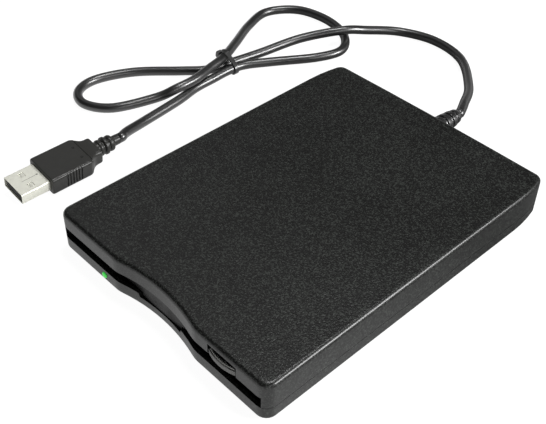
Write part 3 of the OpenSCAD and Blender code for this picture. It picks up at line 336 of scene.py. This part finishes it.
# light grey for the lip on the button's edge: a painted highlight
material("button_highlight", (140, 140, 136), 0.3, spec=0.6)
material("button", (100, 100, 98), 0.42, grain=0.1, grain_size=0.3)
material("door", (18, 18, 18), 0.5, spec=0.3, grain=0.1, grain_size=0.3)
material("rubber", (22, 22, 22), 0.75, spec=0.3, grain=0.2, grain_size=0.25)
material("lens", (60, 205, 75), 0.25, coat=0.3, vary=0.03, emission=0.65)
material("cable", (7, 7, 7), 0.36, spec=0.8, vary=0.12, rough_vary=0.03, coat=1,
         coat_rough=0.33)
material("grip", (46, 46, 44), 0.36, spec=0.34, grain=0.02, grain_size=0.5, rough_vary=0.02)
material("plug_metal", (234, 234, 222), 0.36, metallic=0.35, grain=0.05, grain_size=0.25,
         vary=0.04, vary_size=2)
# near-black: painted shade in the grip's pits
material("pit_shade", (8, 8, 8), 0.8, spec=0.1)
material("seam", (150, 150, 142), 0.5, metallic=0.4, vary=0.05, vary_size=1)
material("tongue", (28, 28, 28), 0.5, spec=0.4)
material("gold", (214, 176, 96), 0.25, metallic=1)
# metal inside
material("screw_dark", (60, 60, 62), 0.38, metallic=1, grain=0.05, grain_size=0.2)
material("screw_bright", (190, 190, 194), 0.3, metallic=1, grain=0.04, grain_size=0.2)
material("sheet", (176, 178, 180), 0.34, metallic=1, grain=0.06, grain_size=0.5,
         vary=0.1, vary_size=8, stretch=(1, 0.15, 1))
material("spring", (200, 200, 204), 0.25, metallic=1)
material("shaft", (215, 215, 220), 0.18, metallic=1)
material("copper", (186, 108, 58), 0.3, metallic=1, grain=0.1, grain_size=0.12,
         stretch=(1, 1, 0.2))
material("bronze", (182, 142, 82), 0.45, metallic=1, grain=0.15, grain_size=0.15)
material("magnet", (58, 58, 62), 0.55, metallic=0.3, grain=0.15, grain_size=0.2)
material("can", (190, 190, 195), 0.3, metallic=1, grain=0.05, grain_size=0.3,
         stretch=(1, 0.2, 1))
# boards, mouldings and wires inside
material("diode", (200, 225, 195), 0.2, coat=0.5)
material("board", (24, 84, 50), 0.35, coat=0.3, grain=0.04, grain_size=0.6, vary=0.12)
material("moulding", (38, 38, 40), 0.5, spec=0.45, grain=0.12, grain_size=0.3)
material("ceramic", (222, 218, 205), 0.2, coat=0.3)
material("chip", (30, 30, 32), 0.5, spec=0.4, grain=0.1, grain_size=0.15)
material("socket", (226, 219, 196), 0.45, spec=0.4)
material("wire", (170, 30, 26), 0.35)
material("flex", (196, 124, 48), 0.25, coat=0.3)


def paint(obj, look):
    """One material on the whole piece."""
    obj.data.materials.clear()
    obj.data.materials.append(MATS[look])
    for polygon in obj.data.polygons:
        polygon.material_index = 0


def new_object(name, mesh, body, slot, *replaced, look=None):
    """A piece on a body, with the slot's finish or another look, that stands for CAD nodes."""
    obj = bpy.data.objects.new(name, mesh)
    scene.collection.objects.link(obj)
    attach(obj, body)
    if replaced:
        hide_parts(*replaced)
    paint(obj, look or slot)
    return obj


# ---------------------------------------------------------------- CAD nodes

SLOTS = {s["node"]: s["material_slot"] for s in frame["record"]["subparts"]}
BEVELS = {"top_cover": 0.12, "bottom_shell": 0.12, "eject_button": 0.2, "dust_door": 0.1,
          "plug_shell": 0.08, "strain_relief": 0.15, "cable_tie": 0.15}
for node, obj in NODES.items():
    if node == "usb_cable":
        continue
    paint(obj, "cable" if node == "strain_relief" else SLOTS[node])
    finish_edges(obj, BEVELS.get(node, 0.0))


# ---------------------------------------------------------------- cable

# the route of part.scad, in millimetres
ROUTE = [
    (-1, 87.25, 9), (-4.7, 94.8, 8.2), (-13, 109.4, 5.6), (-31.6, 128.7, 2.4),
    (-49.7, 132.6, 2.2), (-65.7, 126.6, 2.4), (-74.9, 113, 4.6), (-79.8, 102.3, 6.5),
    (-90.1, 85.5, 4.4), (-94.9, 65.3, 3), (-98, 49.3, 2.85), (-101.3, 39.2, 2.2),
    (-108.3, 30.4, 2.1), (-121.3, 14.6, 2.1), (-127.6, -1.4, 2.1), (-124.9, -11.9, 2.1),
    (-115.7, -15.2, 2.1), (-105.5, -8.1, 2.1), (-98.3, 8.8, 3), (-94.5, 17.2, 5.8),
    (-94, 26.5, 6.4), (-96.2, 36.1, 6.5), (-98.9, 46.8, 6.45), (-107, 61.3, 4.6),
    (-116.9, 78.1, 2.4), (-120.9, 93, 2.1), (-112.5, 105.7, 2.1), (-97, 109.4, 2.1),
    (-82, 105.6, 2.1), (-73.3, 95.6, 2.1), (-75.9, 83.2, 2.1), (-86.6, 65.8, 2.1),
    (-92.5, 54.2, 2.6), (-93.9, 46.2, 2.85), (-94, 36.3, 2.5), (-93.9, 26.2, 2.1),
    (-91.6, 15, 2.1), (-88.9, -4.3, 2.5), (-86, -15.2, 4.1), (-84.1, -19, 4.65)]
CASE_END, PLUG_END = V(-1, 85.25, 9), V(-84.1, -21, 4.65)
CABLE_R, ROUTE_STEPS = 2.0, 8

path = [CASE_END] + spline([V(*p) for p in ROUTE], ROUTE_STEPS) + [PLUG_END]
cable = new_object("cable", ring_mesh("cable", tube_rings(path, CABLE_R * MM)), "case", "cable",
                   "usb_cable")


# ---------------------------------------------------------------- plug

# sizes of part.scad; the plug's own frame runs along -Y from the neck's end
NECK_L, GRIP_L, LOBE_L = 10.5, 24.4, 7.2
GRIP_W, GRIP_T, LOBE_W, SHELL_T = 15.5, 7.5, 10.2, 4.5
Y_GRIP, Y_LOBE = -NECK_L - GRIP_L, -NECK_L - LOBE_L
PLUG_TURN = math.radians(8)
PLUG = Matrix.Translation(PLUG_END) @ Matrix.Rotation(PLUG_TURN, 4, "Y")
CORNER_R, CORNER_STEPS = 1.2, 7
TOP_BAND = 0.2  # what lies this close to the highest line counts as the top


def plug_ring(y, w, h, r, inset=0.0, sink=0.0):
    """Rounded outline of the grip at a station; inset clips its sides, sink lowers its top."""
    ring = []
    for sx, sz, start in ((1, 1, 0), (-1, 1, 90), (-1, -1, 180), (1, -1, 270)):
        for k in range(CORNER_STEPS + 1):
            a = math.radians(start + 90 * k / CORNER_STEPS)
            x, z = sx * (w / 2 - r) + r * math.cos(a), sz * (h / 2 - r) + r * math.sin(a)
            x = max(min(x, w / 2 - inset), inset - w / 2)
            ring.append(PLUG @ V(x, y, z - (sink if z > h / 2 - TOP_BAND else 0)))
    return ring


# rounded end at the shell: distance from it, width and thickness lost, corner radius
NOSE = [(0.0, 1.4, 0.7), (0.15, 0.5, 1.0), (0.6, 0.0, CORNER_R)]
# grooves in the sides: distance along each, and its depth
GROOVE = [(0, 0), (0.12, 0.35), (0.6, 0.35), (0.72, 0)]
GROOVES, FIRST_GROOVE, GROOVE_PITCH = 6, 6.1, 1.25
# shoulder, with a shallow groove across its top: distance from the lobe's start, share of
# the grip's extra width, thickness lost, width added, depth that the top is sunk by
SHOULDER = [
    (-0.3, 1.0, 0.0, 0, 0), (0.0, 0.99, 0.0, 0, 0), (0.5, 0.93, 0.03, 0, 0),
    (0.82, 0.8, 0.1, 0.2, 0), (0.87, 0.8, 0.1, 0.2, 0.2), (1.08, 0.8, 0.1, 0, 0.2),
    (1.13, 0.8, 0.1, 0, 0), (1.5, 0.62, 0.2, 0, 0), (2.1, 0.42, 0.34, 0, 0),
    (2.8, 0.2, 0.5, 0, 0), (3.5, 0.08, 0.7, 0, 0), (4.2, 0.02, 0.85, 0, 0),
    (5.0, 0.0, 0.95, 0, 0), (LOBE_L - 0.9, 0.0, 1.0, 0, 0)]
LOW_CORNER = 0.3  # growth of the corner radius for each millimetre of thickness lost
# lobe's end: distance from the neck, width and thickness lost, corner radius
LOBE_END = [(-0.35, 0.3, 1.3, 1.4), (0, 1.2, 2.2, CORNER_R)]
# ringed neck: radius and distance from the cable's end of the plug
NECK = [(2.02, 0), (2.06, 0.12), (2.1, 2.5), (2.5, 3.0), (3.05, 3.35), (3.25, 3.8), (3.25, 4.6),
        (3.05, 5.0), (2.65, 5.25), (2.65, 5.55), (3.2, 5.8), (3.55, 6.1), (3.62, 6.6), (3.55, 7.1),
        (3.2, 7.45), (2.7, 7.65), (2.7, 7.95), (3.1, 8.2), (3.3, 8.6), (3.3, 9.2), (3.1, 9.6),
        (2.8, 9.8), (2.8, NECK_L + 0.4)]
NECK_SIDES = 28

rings = [plug_ring(Y_GRIP + dy, GRIP_W - off, GRIP_T - off, r) for dy, off, r in NOSE]
for k in range(GROOVES):
    rings += [plug_ring(Y_GRIP + FIRST_GROOVE + GROOVE_PITCH * k + dy, GRIP_W, GRIP_T, CORNER_R,
                        depth) for dy, depth in GROOVE]
rings += [plug_ring(Y_LOBE + dy, LOBE_W + wide * (GRIP_W - LOBE_W) + more, GRIP_T - low,
                    CORNER_R + LOW_CORNER * low, 0, sink)
          for dy, wide, low, more, sink in SHOULDER]
rings += [plug_ring(dy - NECK_L, LOBE_W - off, GRIP_T - low, r) for dy, off, low, r in LOBE_END]
neck_rings = [round_ring(0, -y, 0, r, NECK_SIDES, PLUG) for r, y in NECK]
plug_skin = new_object(
    "plug_grip_skin",
    joined("plug_grip_skin", [ring_mesh("grip", rings), ring_mesh("neck", neck_rings)]),
    "case", "grip", "plug_grip")
finish_edges(plug_skin)

# two small pits in the grip's top: shallow near-black discs, painted shade for their hollows
PITS = ((-2.65, -18.9), (3.3, -19.0))
PIT_R, PIT_SIDES, PIT_Z = 0.5, 16, GRIP_T / 2 - 0.01
# rim and floor of a pit: share of its radius, and height over PIT_Z
PIT_RINGS = [(1, 0.0), (1, 0.03), (0.7, 0.027), (0.62, 0.004)]
for k, (x, y) in enumerate(PITS):
    name = "grip_pit_%d" % k
    rings = [[PLUG @ V(x + PIT_R * part * math.cos(a), y + PIT_R * part * math.sin(a), PIT_Z + h)
              for a in turn(PIT_SIDES)] for part, h in PIT_RINGS]
    dot = new_object(name, ring_mesh(name, rings), "case", "grip", look="pit_shade")
    finish_edges(dot)

# spring leaves in the shell's windows: distance from the grip, and depth below the shell's top
LEAF = [(-5.25, -0.12), (-5.6, -0.1), (-6.2, -0.16), (-6.8, -0.3), (-7.15, -0.42), (-7.3, -0.45)]
LEAF_X, LEAF_HALF, LEAF_T = 3, 1.0, 0.2
SMALL_BEVEL, SMALL_ANGLE = 0.05, 40
for k, sx in enumerate((-1, 1)):
    name = "plug_leaf_%d" % k
    rings = [[PLUG @ V(sx * LEAF_X + x, Y_GRIP + y, SHELL_T / 2 + z + h)
              for x, h in ((-LEAF_HALF, 0), (LEAF_HALF, 0), (LEAF_HALF, -LEAF_T),
                           (-LEAF_HALF, -LEAF_T))] for y, z in LEAF]
    leaf = new_object(name, ring_mesh(name, rings), "case", "plug_metal")
    finish_edges(leaf, SMALL_BEVEL, SMALL_ANGLE)

# seam of the shell's folded sheet: distance from the grip, half width, place across
SEAM = [(-8.1, 0.09, -0.05), (-2.0, 0.09, -0.2), (-1.9, 0.35, -0.2), (-1.45, 0.35, -0.2),
        (-1.35, 0.09, -0.2)]
SEAM_RISE, SEAM_SINK = 0.015, -0.1
rings = [[PLUG @ V(x + sx * half, Y_GRIP + y, SHELL_T / 2 + h)
          for sx, h in ((-1, SEAM_RISE), (1, SEAM_RISE), (1, SEAM_SINK), (-1, SEAM_SINK))]
         for y, half, x in SEAM]
seam = new_object("plug_seam", ring_mesh("plug_seam", rings), "case", "plug_metal", look="seam")
finish_edges(seam)


# ---------------------------------------------------------------- slide, button, indicator

# the slide's return springs, which shorten as the slide moves out, drawn here at one fixed length
SPRING_X, SPRING_Z, Y_FIXED, Y_POST = 44.6, 13.45, -33.68, -12.42
COIL_R, WIRE_R, WIRE_SIDES, TURNS, TURN_STEPS, TRAVEL = 0.85, 0.15, 8, 16, 12, 5
STEM, HOOK = 0.8, 1.28  # from each end to the end of its straight wire, and to the first turn
start, end, steps = Y_FIXED + HOOK, Y_POST - HOOK, TURN_STEPS * TURNS
coils = []
for sx in (-1, 1):
    turns = []
    for i in range(steps + 1):
        a = 2 * math.pi * i / TURN_STEPS
        turns.append(V(sx * SPRING_X + COIL_R * math.cos(a), start + (end - start) * i / steps,
                       SPRING_Z + COIL_R * math.sin(a)))
    front, rear = ([V(sx * SPRING_X, y, SPRING_Z) for y in ends]
                   for ends in ((Y_FIXED, Y_FIXED + STEM), (Y_POST - STEM, Y_POST)))
    coils.append(ring_mesh("coil", tube_rings(front + turns + rear, WIRE_R * MM, WIRE_SIDES)))
slide_coils = new_object("slide_coils", joined("slide_coils", coils), "case", "spring",
                         "slide_springs")
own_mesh(slide_coils)

# lip along the button's curved front, light grey as a painted highlight on its edge: distance back
# from its face, and height over its top
BUTTON_X, BUTTON_Y, BUTTON_R, BUTTON_TOP = 32.4, -52.88, 16.37, 13.05
LIP = [(0.4, -0.05), (0.42, 0.42), (0.5, 0.5), (0.85, 0.5), (0.85, -0.05)]
LIP_HALF, LIP_STEPS = 20, 24  # degrees to either side
rings = []
for k in range(LIP_STEPS + 1):
    a = math.radians(-LIP_HALF + 2 * LIP_HALF * k / LIP_STEPS)
    rings.append([V(BUTTON_X + (BUTTON_R - inset) * math.sin(a),
                    BUTTON_Y - (BUTTON_R - inset) * math.cos(a), BUTTON_TOP + h)
                  for inset, h in LIP])
button_lip = new_object("button_lip", ring_mesh("button_lip", rings), "slider", "button",
                        look="button_highlight")
finish_edges(button_lip, SMALL_BEVEL, SMALL_ANGLE)

# domed lens of the indicator, with its rod: radius, and distance behind the front
LED_X, LED_Z, Y_FRONT = -27.0, 3.95, -68.25
LENS = [(0.02, -0.5), (0.35, -0.48), (0.7, -0.42), (0.95, -0.32), (1.12, -0.15), (1.18, 0.1),
        (1.18, 1.9), (1.04, 2.0), (1.04, 10.4), (0.9, 10.6)]
LENS_SIDES = 24
rings = [round_ring(LED_X, Y_FRONT + y, LED_Z, r, LENS_SIDES) for r, y in LENS]
lens = new_object("indicator_lens", ring_mesh("indicator_lens", rings), "case", "lens",
                  "light_pipe")
finish_edges(lens)


# ---------------------------------------------------------------- floor

FLOOR_HALF = 3               # metres
FLOOR_PLAIN = 0.8            # colour to rays that only carry light
FLOOR_SHADE = 0.18           # colour that takes the shadow in what is seen
FLOOR_SEEN = 0.95            # glow to the camera
FLOOR_MIRRORED = 0.74        # glow to mirrors and glass, on the bright side
BRIGHT_SIDE = (-0.4, -0.9, 0)
BRIGHT_SPAN = (-0.06, 0.06)  # metres towards that side


def diffuse(tree, grey):
    """Plain diffuse shader's output."""
    node = tree.nodes.new("ShaderNodeBsdfDiffuse")
    node.inputs["Color"].default_value = (grey, grey, grey, 1)
    return node.outputs[0]


def floor_material():
    """White to the camera, brightest at the front left to mirrors and glass, plain to the rest."""
    ground = bpy.data.materials.new("floor")
    ground.use_nodes = True
    tree = ground.node_tree
    tree.nodes.clear()
    new, link = tree.nodes.new, tree.links.new
    place, along = new("ShaderNodeTexCoord"), new("ShaderNodeVectorMath")
    along.operation = "DOT_PRODUCT"
    along.inputs[1].default_value = BRIGHT_SIDE
    link(place.outputs["Object"], along.inputs[0])
    rays = new("ShaderNodeLightPath").outputs
    strength, glow = new("ShaderNodeMix"), new("ShaderNodeEmission")
    strength.inputs["B"].default_value = FLOOR_SEEN
    link(map_range(tree, along.outputs["Value"], BRIGHT_SPAN, (0.0, FLOOR_MIRRORED)),
         strength.inputs["A"])
    link(rays["Is Camera Ray"], strength.inputs["Factor"])
    link(strength.outputs["Result"], glow.inputs["Strength"])
    shown, choice = new("ShaderNodeAddShader"), new("ShaderNodeMixShader")
    link(diffuse(tree, FLOOR_SHADE), shown.inputs[0])
    link(glow.outputs[0], shown.inputs[1])
    seen = combine(tree, "MAXIMUM", rays["Is Camera Ray"], rays["Is Glossy Ray"])
    seen = combine(tree, "MAXIMUM", seen, rays["Is Transmission Ray"])
    link(seen, choice.inputs[0])
    link(diffuse(tree, FLOOR_PLAIN), choice.inputs[1])
    link(shown.outputs[0], choice.inputs[2])
    link(choice.outputs[0], new("ShaderNodeOutputMaterial").inputs[0])
    return ground


plane = bpy.data.meshes.new("floor")
plane.from_pydata([(sx * FLOOR_HALF, sy * FLOOR_HALF, 0)
                   for sx, sy in ((-1, -1), (1, -1), (1, 1), (-1, 1))], [], [(0, 1, 2, 3)])
plane.materials.append(floor_material())
floor = bpy.data.objects.new("floor", plane)
scene.collection.objects.link(floor)


# ---------------------------------------------------------------- world and lamps

SKY_HEIGHTS, SKY_LEVELS = (0.05, 0.22), (1.0, 0.06)  # bright at the horizon, dim above


def sky_world():
    """White surroundings that fade towards the top."""
    world = bpy.data.worlds.new("studio")
    world.use_nodes = True
    tree = world.node_tree
    tree.nodes.clear()
    new, link = tree.nodes.new, tree.links.new
    direction, split = new("ShaderNodeTexCoord"), new("ShaderNodeSeparateXYZ")
    sky = new("ShaderNodeBackground")
    sky.inputs["Color"].default_value = (1, 1, 1, 1)
    link(direction.outputs["Generated"], split.inputs["Vector"])
    link(map_range(tree, split.outputs["Z"], SKY_HEIGHTS, SKY_LEVELS, "SMOOTHSTEP"),
         sky.inputs["Strength"])
    link(sky.outputs[0], new("ShaderNodeOutputWorld").inputs[0])
    return world


def lamp(name, toward, distance, size, brightness):
    """Soft area lamp in a direction from the object; brightness is what a white face gets."""
    data = bpy.data.lights.new(name, "AREA")
    data.shape = "RECTANGLE"
    data.size, data.size_y = size
    data.energy = brightness * math.pi ** 2 * distance ** 2
    obj = bpy.data.objects.new(name, data)
    scene.collection.objects.link(obj)
    toward = Vector(toward).normalized()
    obj.location = toward * distance
    obj.rotation_mode = "QUATERNION"
    obj.rotation_quaternion = (-toward).to_track_quat("-Z", "Y")


scene.world = sky_world()
lamp("overhead", (0, 0.22, 0.96), 1.3, (0.32, 0.3), 0.4)
lamp("edge", (0.76, 0.46, 0.47), 1.1, (0.45, 0.2), 1.1)
lamp("window", (0.87, -0.29, 0.4), 1.1, (0.3, 0.2), 0.12)
lamp("sheen", (-0.64, 0.25, 0.72), 1.2, (0.6, 0.6), 0.03)
